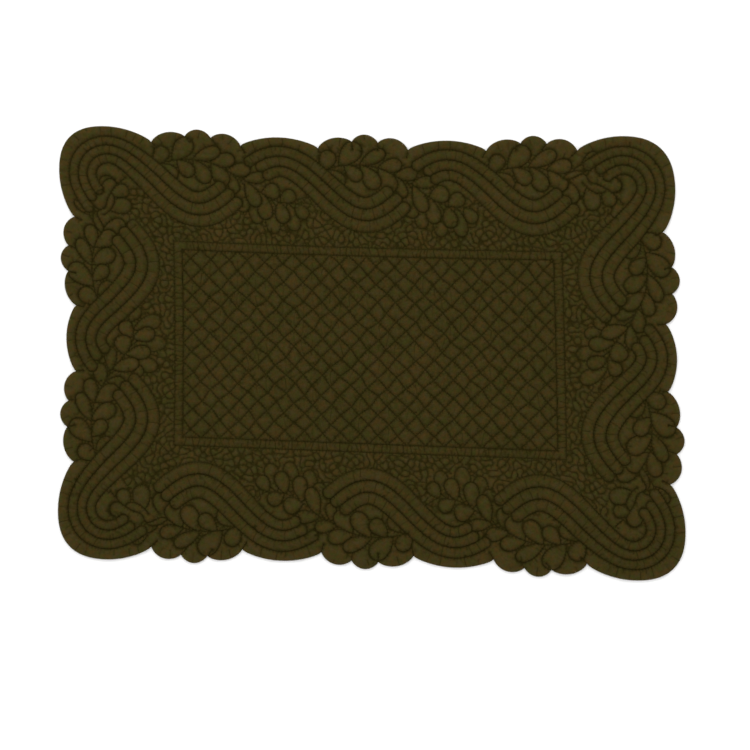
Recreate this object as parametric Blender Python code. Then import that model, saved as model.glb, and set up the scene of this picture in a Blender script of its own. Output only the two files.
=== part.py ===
"""A quilted whole-cloth placemat with a scalloped edge, lying flat.

One solid: face cloth, wadding and backing sewn through as one piece. The top is triangulated over the
seams, which stay low, and the filled parts between them are raised. The underside is flat, at z = 0.
The design is drawn on a true rectangle and then pulled askew, as the cloth lies. Metres, +Z up,
X along the length, origin under the middle of the mat.
"""

import math
import random

import bmesh
import bpy
import numpy as np
from mathutils.geometry import delaunay_2d_cdt
from mathutils.kdtree import KDTree

# The border is a wave that runs clockwise. Its outer crests lie at the corners and at the wide scallops.
LONG_CRESTS = 2                     # wide scallops between the corners of a long side
SHORT_CRESTS = 1
CORNER_RUN = 0.034                  # from the middle of a corner loop to the notch beside it
LONG_WIDE_HALF = 0.030              # half a wide scallop of a long side, notch to notch
SHORT_WIDE_HALF = 0.0255
LEAF_SPAN = 0.0695                  # edge between two wide scallops, where the leaves are
NOTCH_PHASE = 82.0                  # degrees of the wave from a crest to the notch beside it

# Edge, as distances outside the rectangle through the corner loops
NOTCH_OUT = 0.0285
WIDE_OUT = 0.0362
EDGE_FULLNESS = 0.7                 # power of the wide scallops' cosine: less is fuller
CORNER_OUT = 0.0393
CORNER_SQUARE = 0.0024              # how much further a corner's diagonal reaches
LOBES = (                           # three small lobes along each leaf span
    # share of the span where it ends, distance out there, bulge beyond its chord
    (0.38, 0.0344, 0.0056),
    (0.67, 0.0340, 0.0060),
    (1.00, NOTCH_OUT, 0.0062),
)

# Ribbon of three filled channels
RIBBON_MEAN = -0.0033               # its middle line, out from the rectangle, is mean + swing * cos
RIBBON_SWING = 0.0202
RIBBON_HALF = 0.0129                # half its width is this less the change times cos
RIBBON_CHANGE = 0.0009
RIBBON_CORNER_OUT = 0.0037          # in a corner loop it lies this much further out
RIBBON_CORNER_THIN = 0.0014         # and is this much thinner to each side
CHANNELS = (                        # wave phases, in degrees, where each channel starts and ends
    (-53.0, 248.0),
    (-44.0, 251.0),
    (-41.0, 251.0),
)
CHANNEL_TIP = 0.0030                # roundness of a channel's end

# Vine: the first part lies between two ribbons at the edge, the second behind the next crest
STEM_OUTER = (                      # wave phase after the crest, distance out
    (86.0, 0.0100), (112.0, 0.0132), (150.0, 0.0155), (190.0, 0.0152), (225.0, 0.0118), (255.0, 0.0060),
)
STEM_INNER = (                      # wave phase about the next crest, distance out
    (-72.0, 0.0000), (-50.0, -0.0065), (-22.0, -0.0130), (8.0, -0.0160), (38.0, -0.0155), (62.0, -0.0090),
)
STEM_CORNER = (                     # along the side that leaves a corner, and out from it
    (-0.0104, -0.0306), (-0.0042, -0.0253), (-0.0016, -0.0183), (0.0037, -0.0095), (0.0125, -0.0010),
)
LEAF_POINT = 0.90                   # how slender a leaf's foot is
LEAF_CROWNS = (0.46, 0.76)          # where a leaf is raised, as shares of its length
LEAVES_OUTER = (
    # distance along the stem, side (1 is outward), length, width, lean from the stem in degrees
    (0.001, 1, 0.0172, 0.0123, 41), (0.003, -1, 0.0185, 0.0120, -56),
    (0.015, 1, 0.0232, 0.0145, 38), (0.019, -1, 0.0170, 0.0114, -50),
    (0.031, 1, 0.0235, 0.0108, 27), (0.032, -1, 0.0215, 0.0130, -53),
    (0.045, 1, 0.0190, 0.0110, 30), (0.046, -1, 0.0205, 0.0128, -36),
    (0.059, 1, 0.0175, 0.0105, 36),
)
LEAVES_INNER = (
    (0.062, -1, 0.0165, 0.0085, -48), (0.073, 1, 0.0185, 0.0095, 34),
    (0.075, -1, 0.0225, 0.0112, -38), (0.090, 1, 0.0150, 0.0130, 48),
    (0.091, -1, 0.0200, 0.0112, -46), (0.105, -1, 0.0172, 0.0110, -60),
    (0.106, 1, 0.0140, 0.0110, 46), (0.118, -1, 0.0145, 0.0105, -62),
    (0.068, -1, 0.0290, 0.0125, -52), (0.083, -1, 0.0290, 0.0118, -46),
    (0.098, -1, 0.0275, 0.0118, -58), (0.112, -1, 0.0225, 0.0112, -70),
)
LEAVES_CORNER = (
    (0.060, -1, 0.0200, 0.0115, -38), (0.063, 1, 0.0185, 0.0095, 32),
    (0.072, -1, 0.0235, 0.0132, -50), (0.073, 1, 0.0215, 0.0095, 30),
    (0.082, 1, 0.0250, 0.0120, 42), (0.084, -1, 0.0215, 0.0130, -50),
    (0.091, 1, 0.0185, 0.0125, 22), (0.095, -1, 0.0150, 0.0105, -42),
)

# Double-lined frame and the diamonds inside it
FRAME_LENGTH, FRAME_WIDTH = 0.299, 0.159
FRAME_STRIP = 0.0065
DIAMONDS_LONG, DIAMONDS_WIDE = 20, 10

# Heights above the table
SEAM_HEIGHT = 0.0014
EDGE_HEIGHT = 0.0013
EDGE_TUCK = 0.0008                  # how far the underside's rim is drawn in
LOFT = {                            # how far each kind of filled part rises over the seams
    "channel": 0.0034, "rim": 0.0029, "leaf": 0.0032, "diamond": 0.0019, "strip": 0.0018, "ground": 0.0007,
}
FULL_LOFT_AT = 0.0035               # distance from the nearest seam at which the loft is whole

# Steps between the points of the outlines
EDGE_STEP = 0.0054
RIM_STEP = 0.0075
RIBBON_STEP = 0.0084
LEAF_STEP = 0.0046
STRAIGHT_STEP = 0.0100
GROUND_STEP = 0.0125
CLEAR_OF_SEAM = 0.0017              # no raised point lies nearer to a seam
CLEAR_OF_STEM = 0.0005              # a leaf's own seam starts this far from the stem
NOTCH_SEAM = 0.0060                 # seam that runs in from each notch of the edge
RIM_CROWN = 0.0036                  # the rim is fullest this far in
KNOT_STRAY = 0.0010                 # how far a crossing of the diamonds strays
COVER_REACH = 0.080                 # no leaf or stem reaches further than this from its first point
SHORTEST_SEAM = 0.003
MERGE = 0.00001                     # distance at which crossing seams share a point
WELD = 0.0003                       # nearer points become one
SHARP = math.radians(50)            # the edge round the underside is sharper than this, the quilting isn't
DRAWN_STEP = 0.0010                 # step in which a curve is worked out before it is thinned
PHASE_STEP = 2.5                    # the same for the wave, in degrees

# How the cloth lies: what each place of the rectangle is pulled by, along x and y
REACH_X, REACH_Y = 0.240, 0.170
PULLS = {
    (-1, 1): (-0.0070, -0.0030), (0, 1): (-0.0110, -0.0045), (1, 1): (-0.0110, 0.0040),
    (-1, 0): (0.0030, 0.0020), (1, 0): (0.0010, 0.0020),
    (-1, -1): (0.0030, 0.0015), (0, -1): (0.0040, 0.0020), (1, -1): (0.0110, -0.0015),
}
HAND = random.Random(7)             # the small unevenness of hand work
COLOUR = (0.045, 0.032, 0.008, 1)


# Plane geometry on arrays of points, one row each

def evenly(line, step):
    """The same line with points an even step apart, ends kept."""
    legs = np.hypot(*np.diff(line, axis=0).T)
    along = np.concatenate(([0], np.cumsum(legs)))
    count = max(1, round(along[-1] / step))
    at = np.linspace(0, along[-1], count + 1)
    return np.column_stack((np.interp(at, along, line[:, 0]), np.interp(at, along, line[:, 1])))


def smooth_through(points):
    """A smooth curve through a few points: a Catmull-Rom spline."""
    points = np.array(points)
    ends = np.vstack((2 * points[0] - points[1], points, 2 * points[-1] - points[-2]))
    t = np.linspace(0, 1, 16, endpoint=False)[:, None]
    pieces = []
    for a, b, c, d in zip(ends, ends[1:], ends[2:], ends[3:]):
        pieces.append(0.5 * (2 * b + (c - a) * t + (2 * a - 5 * b + 4 * c - d) * t**2
                             + (3 * b - a - 3 * c + d) * t**3))
    return evenly(np.vstack(pieces + [points[-1:]]), DRAWN_STEP)


def left_of(line):
    """Unit vectors to the left of an open line at its points."""
    run = np.gradient(line, axis=0)
    run /= np.hypot(*run.T)[:, None]
    return np.column_stack((-run[:, 1], run[:, 0]))


def within(points, outline):
    """Whether each point lies inside a closed outline."""
    x, y = points[:, 0][:, None], points[:, 1][:, None]
    x0, y0 = outline.T
    x1, y1 = np.roll(outline, -1, axis=0).T
    rise = np.where(y1 == y0, 1, y1 - y0)
    hits = ((y0 > y) != (y1 > y)) & (x < (x1 - x0) * (y - y0) / rise + x0)
    return hits.sum(axis=1) % 2 == 1


def where_crossed(start, end, outline):
    """Where the segment from start to end first meets a closed outline."""
    run, sides = end - start, np.roll(outline, -1, axis=0) - outline
    gap = outline - start
    turn = run[0] * sides[:, 1] - run[1] * sides[:, 0]
    turn[turn == 0] = 1e-12
    t = (gap[:, 0] * sides[:, 1] - gap[:, 1] * sides[:, 0]) / turn
    u = (gap[:, 0] * run[1] - gap[:, 1] * run[0]) / turn
    met = t[(u >= 0) & (u <= 1) & (t >= 0) & (t <= 1)]
    return start + run * (met.min() if len(met) else 0.5)


def uncovered(line, cover):
    """The stretches of a line outside a closed outline, ended on it."""
    hidden = within(line, cover)
    if not hidden.any():
        return [line]
    stretches, stretch = [], []
    for k, point in enumerate(line):
        if k and hidden[k] != hidden[k - 1]:
            stretch.append(where_crossed(line[k - 1], point, cover))
            if hidden[k]:
                stretches.append(np.array(stretch))
                stretch = []
        if not hidden[k]:
            stretch.append(point)
    if len(stretch) > 1:
        stretches.append(np.array(stretch))
    return stretches


# The border's wave

class Crest:
    """An outer crest of the wave, with the headings of the sides that reach it and leave it."""

    def __init__(self, at, before, after, half):
        self.at = np.array(at)
        self.before = np.array(before)
        self.after = np.array(after)
        self.half = half
        self.corner = before != after

    def spot(self, phase, out):
        """The place at a phase of the wave, this far out from the rectangle."""
        heading = self.after if phase > 0 else self.before
        to_notch = min(abs(phase), NOTCH_PHASE)
        past_notch = abs(phase) - to_notch
        run = self.half * to_notch / NOTCH_PHASE + LEAF_SPAN * past_notch / (360 - 2 * NOTCH_PHASE)
        outward = np.array((-heading[1], heading[0]))
        return self.at + heading * math.copysign(run, phase) + outward * out

    def trace(self, start, end, out):
        """The curve from one phase to another and its phases. out(phase, diagonal) is how far out it lies.

        A corner is swept round at phase 0, where diagonal rises to 1 halfway and falls to 0 again.
        """
        count = max(4, round(abs(end - start) / PHASE_STEP))
        stops = [(phase, None) for phase in np.linspace(start, end, count)]
        if self.corner and start < 0 < end:
            swept = [(0.0, turn) for turn in np.linspace(0, math.pi / 2, 24)]
            stops = [s for s in stops if s[0] < -1] + swept + [s for s in stops if s[0] > 1]
        points = []
        for phase, turn in stops:
            if turn is None:
                points.append(self.spot(phase, out(phase, 0)))
            else:
                bearing = math.atan2(self.before[0], -self.before[1]) - turn
                reach = out(0, math.sin(2 * turn) ** 2)
                points.append(self.at + reach * np.array((math.cos(bearing), math.sin(bearing))))
        return np.array(points), np.array([phase for phase, _ in stops])

    def cornered(self, phase):
        """How much of a corner's own shape applies at a phase, from 0 to 1."""
        return math.cos(math.radians(phase)) ** 2 if self.corner and abs(phase) < 90 else 0.0


def border_crests():
    """The crests, clockwise from the top left corner."""
    long_side = 2 * CORNER_RUN + (LONG_CRESTS + 1) * LEAF_SPAN + LONG_CRESTS * 2 * LONG_WIDE_HALF
    short_side = 2 * CORNER_RUN + (SHORT_CRESTS + 1) * LEAF_SPAN + SHORT_CRESTS * 2 * SHORT_WIDE_HALF
    sides = (
        # corner where it starts, heading, crests on it, half of its wide scallops
        ((-long_side / 2, short_side / 2), (1, 0), LONG_CRESTS, LONG_WIDE_HALF),
        ((long_side / 2, short_side / 2), (0, -1), SHORT_CRESTS, SHORT_WIDE_HALF),
        ((long_side / 2, -short_side / 2), (-1, 0), LONG_CRESTS, LONG_WIDE_HALF),
        ((-long_side / 2, -short_side / 2), (0, 1), SHORT_CRESTS, SHORT_WIDE_HALF),
    )
    crests = []
    for k, (corner, heading, count, half) in enumerate(sides):
        crests.append(Crest(corner, sides[k - 1][1], heading, CORNER_RUN))
        for n in range(count):
            run = CORNER_RUN + (n + 1) * LEAF_SPAN + (2 * n + 1) * half
            crests.append(Crest(np.array(corner) + run * np.array(heading), heading, heading, half))
    return crests


# The edge

def bulged(start, end, bulge):
    """An arch from start to end, to the left of the run between them, a little fuller than a parabola."""
    t = np.linspace(0, 1, 24)[:, None]
    run = end - start
    outward = np.array((-run[1], run[0])) / np.hypot(*run)
    return start + run * t + outward * bulge * (4 * t * (1 - t)) ** 0.8


def edge_outline(crests):
    """The mat's scalloped outline and its notches: a wide scallop and three small lobes to each crest."""
    arches, notches = [], []
    for crest in crests:
        reach = CORNER_OUT if crest.corner else WIDE_OUT

        def out(phase, diagonal):
            fall = max(0.0, math.cos(math.radians(90 * phase / NOTCH_PHASE))) ** EDGE_FULLNESS
            return NOTCH_OUT + (reach - NOTCH_OUT) * fall + CORNER_SQUARE * diagonal

        arches.append(crest.trace(-NOTCH_PHASE, NOTCH_PHASE, out)[0])
        start = crest.spot(NOTCH_PHASE, NOTCH_OUT)
        for share, distance, bulge in LOBES:
            end = crest.spot(NOTCH_PHASE + share * (360 - 2 * NOTCH_PHASE), distance)
            arches.append(bulged(start, end, bulge))
            notches.append(start)
            start = end
        notches.append(start)
    return arches, notches


# The ribbon

class Ribbon:
    """One length of the ribbon over a crest: its outline, its inner seams and its channels' middles."""

    def __init__(self, crest):
        def out(phase, diagonal):
            return (RIBBON_MEAN + RIBBON_SWING * math.cos(math.radians(phase))
                    + RIBBON_CORNER_OUT * crest.cornered(phase))

        middle, phases = crest.trace(CHANNELS[0][0], CHANNELS[-1][1], out)
        halves = np.array([RIBBON_HALF - RIBBON_CHANGE * math.cos(math.radians(phase))
                           - RIBBON_CORNER_THIN * crest.cornered(phase) for phase in phases])
        outward = left_of(middle) * halves[:, None]
        rows = len(CHANNELS)
        lines = [middle + outward * (1 - 2 * k / rows) for k in range(rows + 1)]
        spans = [[int(np.abs(phases - phase).argmin()) for phase in channel] for channel in CHANNELS]

        def tip(k, at, way):
            """The rounded end of channel k at a point of its middle line, bulging the way it ends."""
            return bulged(*((lines[k][at], lines[k + 1][at])[::way]), CHANNEL_TIP)[::way]

        ahead, back = [], []
        for k, (start, end) in enumerate(spans):
            ahead += [tip(k, end, 1)] + ([lines[k + 1][end:spans[k + 1][1]]] if k + 1 < rows else [])
            back += [tip(k, start, -1)] + ([lines[k + 1][start:spans[k + 1][0]]] if k + 1 < rows else [])
        first, last = spans[0], spans[-1]
        self.parts = ([lines[0][first[0]:first[1] + 1]] + ahead + [lines[-1][last[0]:last[1] + 1][::-1]]
                      + [piece[::-1] for piece in back[::-1]])
        self.outline = np.vstack([piece for piece in self.parts if len(piece)])
        self.seams = [lines[k + 1][spans[k + 1][0]:spans[k][1] + 1] for k in range(rows - 1)]
        self.crowns = [(lines[k] + lines[k + 1])[start:end] / 2 for k, (start, end) in enumerate(spans)]


# The vine

class Leaf:
    """A teardrop leaf: its base on the stem, its outline, the part of it that is sewn and its crown."""

    def __init__(self, base, bearing, length, width, stem, side):
        share = (1 - np.cos(np.linspace(0, math.pi, 16))) / 2
        half = share ** LEAF_POINT * np.sqrt(1 - share)
        half *= width / 2 / half.max()
        axis = np.array((math.cos(bearing), math.sin(bearing)))
        across = np.array((-axis[1], axis[0]))
        spine = base + axis * length * share[:, None]
        there = spine + across * half[:, None]
        back = spine - across * half[:, None]
        self.outline = evenly(np.vstack((there, back[-2::-1])), DRAWN_STEP)[:-1]
        self.crowns = [base + axis * length * at for at in LEAF_CROWNS]
        loop = np.vstack((self.outline, self.outline[:1]))
        gaps = loop[:, None] - stem[None]
        nearest = np.hypot(gaps[..., 0], gaps[..., 1]).argmin(axis=1)
        offset = loop - stem[nearest]
        keep = (offset * left_of(stem)[nearest]).sum(axis=1) * side > CLEAR_OF_STEM
        kept = np.flatnonzero(keep)
        self.seam = loop[kept[0]:kept[-1] + 1]


def vine(crest, following):
    """The stem from one crest to the next, and its leaves in the order in which they cover each other."""
    points = [crest.spot(phase, out) for phase, out in STEM_OUTER]
    if following.corner:
        heading = following.after
        outward = np.array((-heading[1], heading[0]))
        points += [following.at + heading * along + outward * out for along, out in STEM_CORNER]
    else:
        points += [following.spot(phase, out) for phase, out in STEM_INNER]
    stem = smooth_through(points)
    sides = left_of(stem)
    leaves = []
    rows = LEAVES_OUTER + (LEAVES_CORNER if following.corner else LEAVES_INNER)
    for place, side, length, width, lean in rows:
        at = min(len(stem) - 1, round(place / DRAWN_STEP))
        run = np.array((sides[at][1], -sides[at][0]))
        bearing = math.atan2(run[1], run[0]) + math.radians(lean + HAND.uniform(-4, 4))
        size = HAND.uniform(0.96, 1.05)
        leaves.append(Leaf(stem[at], bearing, length * size, width * size, stem, side))
    return stem, leaves


# The middle

def rectangle(length, width):
    """The four sides of a rectangle about the middle."""
    corners = np.array(((-1, 1), (1, 1), (1, -1), (-1, -1), (-1, 1))) * (length / 2, width / 2)
    return [corners[k:k + 2] for k in range(4)]


def diamonds(length, width):
    """The slanting seams inside the frame, each a little out of true, and the middles of the diamonds."""
    across, down = length / DIAMONDS_LONG / 2, width / DIAMONDS_WIDE / 2
    columns, rows = 2 * DIAMONDS_LONG, 2 * DIAMONDS_WIDE
    knots, crowns = {}, []
    for a in range(columns + 1):
        for b in range(rows + 1):
            inner = 0 < a < columns and 0 < b < rows
            stray = np.array((HAND.uniform(-1, 1), HAND.uniform(-1, 1))) * KNOT_STRAY * inner
            place = np.array((a * across - length / 2, b * down - width / 2)) + stray
            if (a + b) % 2 == 0:
                knots[a, b] = place
            elif inner:
                crowns.append(place)
    seams = []
    for (a, b), knot in knots.items():
        for across_from in ((a + 1, b + 1), (a + 1, b - 1)):
            if across_from in knots:
                seams.append(np.array((knot, knots[across_from])))
    rim = ([(a, rows) for a in range(0, columns, 2)] + [(columns, b) for b in range(rows, 0, -2)]
           + [(a, 0) for a in range(columns, 0, -2)] + [(0, b) for b in range(0, rows + 1, 2)])
    return seams + [np.array([knots[at] for at in rim])], crowns


# The whole design

class Design:
    """Every seam and raised point of the mat on its true rectangle, and its outline."""

    def __init__(self):
        self.seams, self.crowns, self.covers = [], [], []
        crests = border_crests()
        arches, notches = edge_outline(crests)
        self.outline = np.vstack([evenly(arch, EDGE_STEP)[:-1] for arch in arches])
        self.add_ribbons(crests)
        for crest, following in zip(crests, crests[1:] + crests[:1]):
            self.add_vine(*vine(crest, following))
        self.add_rim(arches, notches)
        self.add_middle()
        self.add_ground()

    def raise_points(self, points, kind):
        self.crowns += [(point, kind) for point in points]

    def add_ribbons(self, crests):
        """The ribbons lie over all else, so their outlines hide what runs under them."""
        for ribbon in [Ribbon(crest) for crest in crests]:
            self.covers.append(ribbon.outline)
            self.seams += [evenly(part, RIBBON_STEP) for part in ribbon.parts + ribbon.seams if len(part) > 1]
            for middle in ribbon.crowns:
                self.raise_points(evenly(middle, RIBBON_STEP)[1:-1], "channel")

    def add_vine(self, stem, leaves):
        """A stem that ends under the ribbons, and leaves that each lie under the ones before."""
        self.seams += [evenly(piece, LEAF_STEP) for piece in self.in_sight(stem, self.covers_near(stem[0]))]
        for leaf in leaves:
            covers = self.covers_near(leaf.outline[0])
            self.seams += [evenly(piece, LEAF_STEP) for piece in self.in_sight(leaf.seam, covers)]
            self.raise_points([point for point in leaf.crowns
                               if not any(within(point[None], cover)[0] for cover in covers)], "leaf")
            self.covers.append(leaf.outline)

    def covers_near(self, place):
        return [cover for cover in self.covers if np.hypot(*(cover - place).T).min() < COVER_REACH]

    def in_sight(self, line, covers):
        """The stretches of a line that no cover hides."""
        pieces = [line]
        for cover in covers:
            pieces = [stretch for piece in pieces for stretch in uncovered(piece, cover)]
        return [piece for piece in pieces if len(piece) > SHORTEST_SEAM / DRAWN_STEP]

    def add_rim(self, arches, notches):
        """A full rim inside the edge, and a short seam in from each notch."""
        for arch in arches:
            line = evenly(arch, RIM_STEP)
            self.raise_points((line - left_of(line) * RIM_CROWN)[1:-1], "rim")
        for notch in notches:
            self.seams.append(np.array((notch, notch * (1 - NOTCH_SEAM / np.hypot(*notch)))))

    def add_middle(self):
        """The frame's two lines, the strip between them and the diamonds."""
        knots, crowns = diamonds(FRAME_LENGTH - 2 * FRAME_STRIP, FRAME_WIDTH - 2 * FRAME_STRIP)
        self.seams += knots
        self.raise_points(crowns, "diamond")
        for side in rectangle(FRAME_LENGTH, FRAME_WIDTH):
            self.seams.append(evenly(side, STRAIGHT_STEP))
        for side in rectangle(FRAME_LENGTH - FRAME_STRIP, FRAME_WIDTH - FRAME_STRIP):
            self.raise_points(evenly(side, STRAIGHT_STEP)[:-1], "strip")

    def add_ground(self):
        """Slightly raised points wherever nothing else lies, in rows like a honeycomb's."""
        reach = np.abs(self.outline).max(axis=0)
        grid = []
        for row, y in enumerate(np.arange(-reach[1], reach[1], GROUND_STEP * math.sqrt(3) / 2)):
            grid += [(x + row % 2 * GROUND_STEP / 2, y) for x in np.arange(-reach[0], reach[0], GROUND_STEP)]
        grid = np.array(grid)
        frame = np.array([side[0] for side in rectangle(FRAME_LENGTH, FRAME_WIDTH)])
        free = within(grid, self.outline)
        for cover in self.covers + [frame]:
            free &= ~within(grid, cover)
        self.raise_points(grid[free], "ground")


def lie(points):
    """Pulls points of the true rectangle to where they are on the cloth as it lies."""
    x, y = points[:, 0] / REACH_X, points[:, 1] / REACH_Y
    pulled = points.copy()
    for (a, b), pull in PULLS.items():
        if a == 0:
            share = (1 - x**2) * (1 + b * y) / 2
        elif b == 0:
            share = (1 + a * x) * (1 - y**2) / 2
        else:
            share = (1 + a * x) * (1 + b * y) * (a * x + b * y - 1) / 4
        pulled += share[:, None] * pull
    return pulled


# The solid

def tree_of(points):
    """A search tree over points of the plane."""
    tree = KDTree(len(points))
    for k, point in enumerate(points):
        tree.insert((*point, 0), k)
    tree.balance()
    return tree


def quilted_top(outline, seams, crowns):
    """Points and triangles of the top, its seams low and the parts between them raised."""
    loop = np.vstack((outline, outline[:1]))
    low = tree_of(np.vstack([evenly(line, DRAWN_STEP) for line in seams + [loop]]))
    points = [tuple(point) for point in outline]
    raised, edges = {}, []
    for seam in seams:
        first = len(points)
        points += [tuple(point) for point in seam]
        edges += [(k, k + 1) for k in range(first, len(points) - 1)]
    for point, kind in crowns:
        clear = low.find((*point, 0))[2]
        if clear > CLEAR_OF_SEAM:
            raised[len(points)] = SEAM_HEIGHT + LOFT[kind] * min(1, clear / FULL_LOFT_AT)
            points.append(tuple(point))
    face = list(range(len(outline)))
    flat, _, faces, origins, _, _ = delaunay_2d_cdt(points, edges, [face], 1, MERGE)
    top = []
    for place, origin in zip(flat, origins):
        height = raised.get(origin[0], SEAM_HEIGHT) if origin else SEAM_HEIGHT
        if any(k < len(outline) for k in origin):
            height = EDGE_HEIGHT
        top.append((place.x, place.y, height))
    return top, faces


def quilted_mat():
    """The mat as one closed mesh: the quilted top, a tucked side and a flat underside."""
    drawn = Design()
    outline = lie(drawn.outline)
    crowns = zip(lie(np.array([point for point, _ in drawn.crowns])), [kind for _, kind in drawn.crowns])
    top, faces = quilted_top(outline, [lie(seam) for seam in drawn.seams], crowns)
    mesh = bpy.data.meshes.new("quilted_mat")
    mesh.from_pydata(top, [], faces)
    bm = bmesh.new()
    bm.from_mesh(mesh)
    bmesh.ops.remove_doubles(bm, verts=bm.verts[:], dist=WELD)

    ahead, behind = np.roll(outline, -1, axis=0), np.roll(outline, 1, axis=0)
    run = ahead - behind
    inward = np.column_stack((run[:, 1], -run[:, 0])) / np.hypot(*run.T)[:, None]
    tucked = outline + inward * EDGE_TUCK
    nearest = tree_of(outline)
    rim = [edge for edge in bm.edges if edge.is_boundary]
    side = bmesh.ops.extrude_edge_only(bm, edges=rim)["geom"]
    for vert in [item for item in side if isinstance(item, bmesh.types.BMVert)]:
        _, k, _ = nearest.find((*vert.co.xy, 0))
        vert.co = (*tucked[k], 0)
    hem = [item for item in side if isinstance(item, bmesh.types.BMEdge) and item.is_boundary]
    bmesh.ops.contextual_create(bm, geom=hem)
    bmesh.ops.triangulate(bm, faces=[face for face in bm.faces if len(face.verts) > 3])
    bmesh.ops.recalc_face_normals(bm, faces=bm.faces[:])
    middle = (outline.min(axis=0) + outline.max(axis=0)) / 2
    bmesh.ops.translate(bm, verts=bm.verts[:], vec=(*-middle, 0))
    bm.to_mesh(mesh)
    bm.free()
    mesh.shade_smooth()
    mesh.set_sharp_from_angle(angle=SHARP)
    return bpy.data.objects.new("quilted_mat", mesh)


def green_cotton():
    material = bpy.data.materials.new("green_cotton")
    material.use_nodes = True
    shader = material.node_tree.nodes["Principled BSDF"]
    shader.inputs["Base Color"].default_value = COLOUR
    shader.inputs["Roughness"].default_value = 0.9
    shader.inputs["Metallic"].default_value = 0.0
    return material


for old in list(bpy.data.objects):
    bpy.data.objects.remove(old)
placemat = bpy.data.collections.new("quilted_placemat")
bpy.context.scene.collection.children.link(placemat)
mat = quilted_mat()
mat.data.materials.append(green_cotton())
placemat.objects.link(mat)
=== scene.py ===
# A quilted whole-cloth placemat with a scalloped edge, dressed over its solid: the puffed face with its
# sewn-in drawing, the backing, the folded edge and the sewing thread. Metres, +Z up, X along the length.
import math
import random

import bmesh
import bpy
import numpy as np
from mathutils import Matrix, Vector, noise
from mathutils.geometry import delaunay_2d_cdt
from mathutils.kdtree import KDTree


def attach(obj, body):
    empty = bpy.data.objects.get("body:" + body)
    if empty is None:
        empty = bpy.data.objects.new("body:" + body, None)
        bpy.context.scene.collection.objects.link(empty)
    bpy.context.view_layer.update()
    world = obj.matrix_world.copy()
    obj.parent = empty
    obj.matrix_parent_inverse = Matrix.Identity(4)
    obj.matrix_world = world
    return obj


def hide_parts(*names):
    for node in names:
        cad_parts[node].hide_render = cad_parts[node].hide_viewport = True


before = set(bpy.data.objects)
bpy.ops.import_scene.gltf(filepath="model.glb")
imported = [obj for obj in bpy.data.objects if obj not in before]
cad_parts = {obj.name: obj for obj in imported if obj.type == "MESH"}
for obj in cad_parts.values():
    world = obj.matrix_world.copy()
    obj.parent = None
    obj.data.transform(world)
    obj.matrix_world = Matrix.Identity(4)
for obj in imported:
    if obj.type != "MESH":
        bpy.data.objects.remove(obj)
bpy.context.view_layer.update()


# The scalloped edge. Face and backing are sewn together along it and turned out, so it has no binding.
# It follows a wave that runs clockwise round a rectangle: a wide scallop or a corner on each outer crest,
# and three small lobes between one crest and the next.
LONG_CRESTS = 2                     # wide scallops between the corners of a long side
SHORT_CRESTS = 1
CORNER_RUN = 0.034                  # from the middle of a corner loop to the notch beside it
LONG_WIDE_HALF = 0.030              # half a wide scallop of a long side, notch to notch
SHORT_WIDE_HALF = 0.0255
LEAF_SPAN = 0.0695                  # edge between two wide scallops, where the leaves are
NOTCH_PHASE = 82.0                  # degrees of the wave from a crest to the notch beside it
NOTCH_OUT = 0.0285                  # these are distances out from the rectangle
WIDE_OUT = 0.0362
CORNER_OUT = 0.0393
EDGE_FULLNESS = 0.7                 # power of the wide scallops' cosine: less is fuller
CORNER_SQUARE = 0.0024              # how much further a corner's diagonal reaches
LOBES = (
    # share of the span where it ends, distance out there, bulge beyond its chord
    (0.38, 0.0344, 0.0056),
    (0.67, 0.0340, 0.0060),
    (1.00, NOTCH_OUT, 0.0062),
)
DRAWN_STEP = 0.0010                 # step in which a curve is worked out before it is thinned
PHASE_STEP = 2.5                    # the same for the wave, in degrees
EDGE_STEP = 0.0022
NOTCH_SEAM = 0.0060                 # seam that runs in from each notch


def evenly(line, step):
    """The same line with points an even step apart, ends kept."""
    legs = np.hypot(*np.diff(line, axis=0).T)
    along = np.concatenate(([0], np.cumsum(legs)))
    at = np.linspace(0, along[-1], max(1, round(along[-1] / step)) + 1)
    return np.column_stack((np.interp(at, along, line[:, 0]), np.interp(at, along, line[:, 1])))


def left_of(line):
    """Unit vectors to the left of an open line at its points."""
    run = np.gradient(line, axis=0)
    run /= np.hypot(*run.T)[:, None] + 1e-12
    return np.column_stack((-run[:, 1], run[:, 0]))


def bulged(start, end, bulge):
    """An arch from start to end, to the left of the run between them, a little fuller than a parabola."""
    t = np.linspace(0, 1, 24)[:, None]
    run = end - start
    outward = np.array((-run[1], run[0])) / np.hypot(*run)
    return start + run * t + outward * bulge * (4 * t * (1 - t)) ** 0.8


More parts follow.
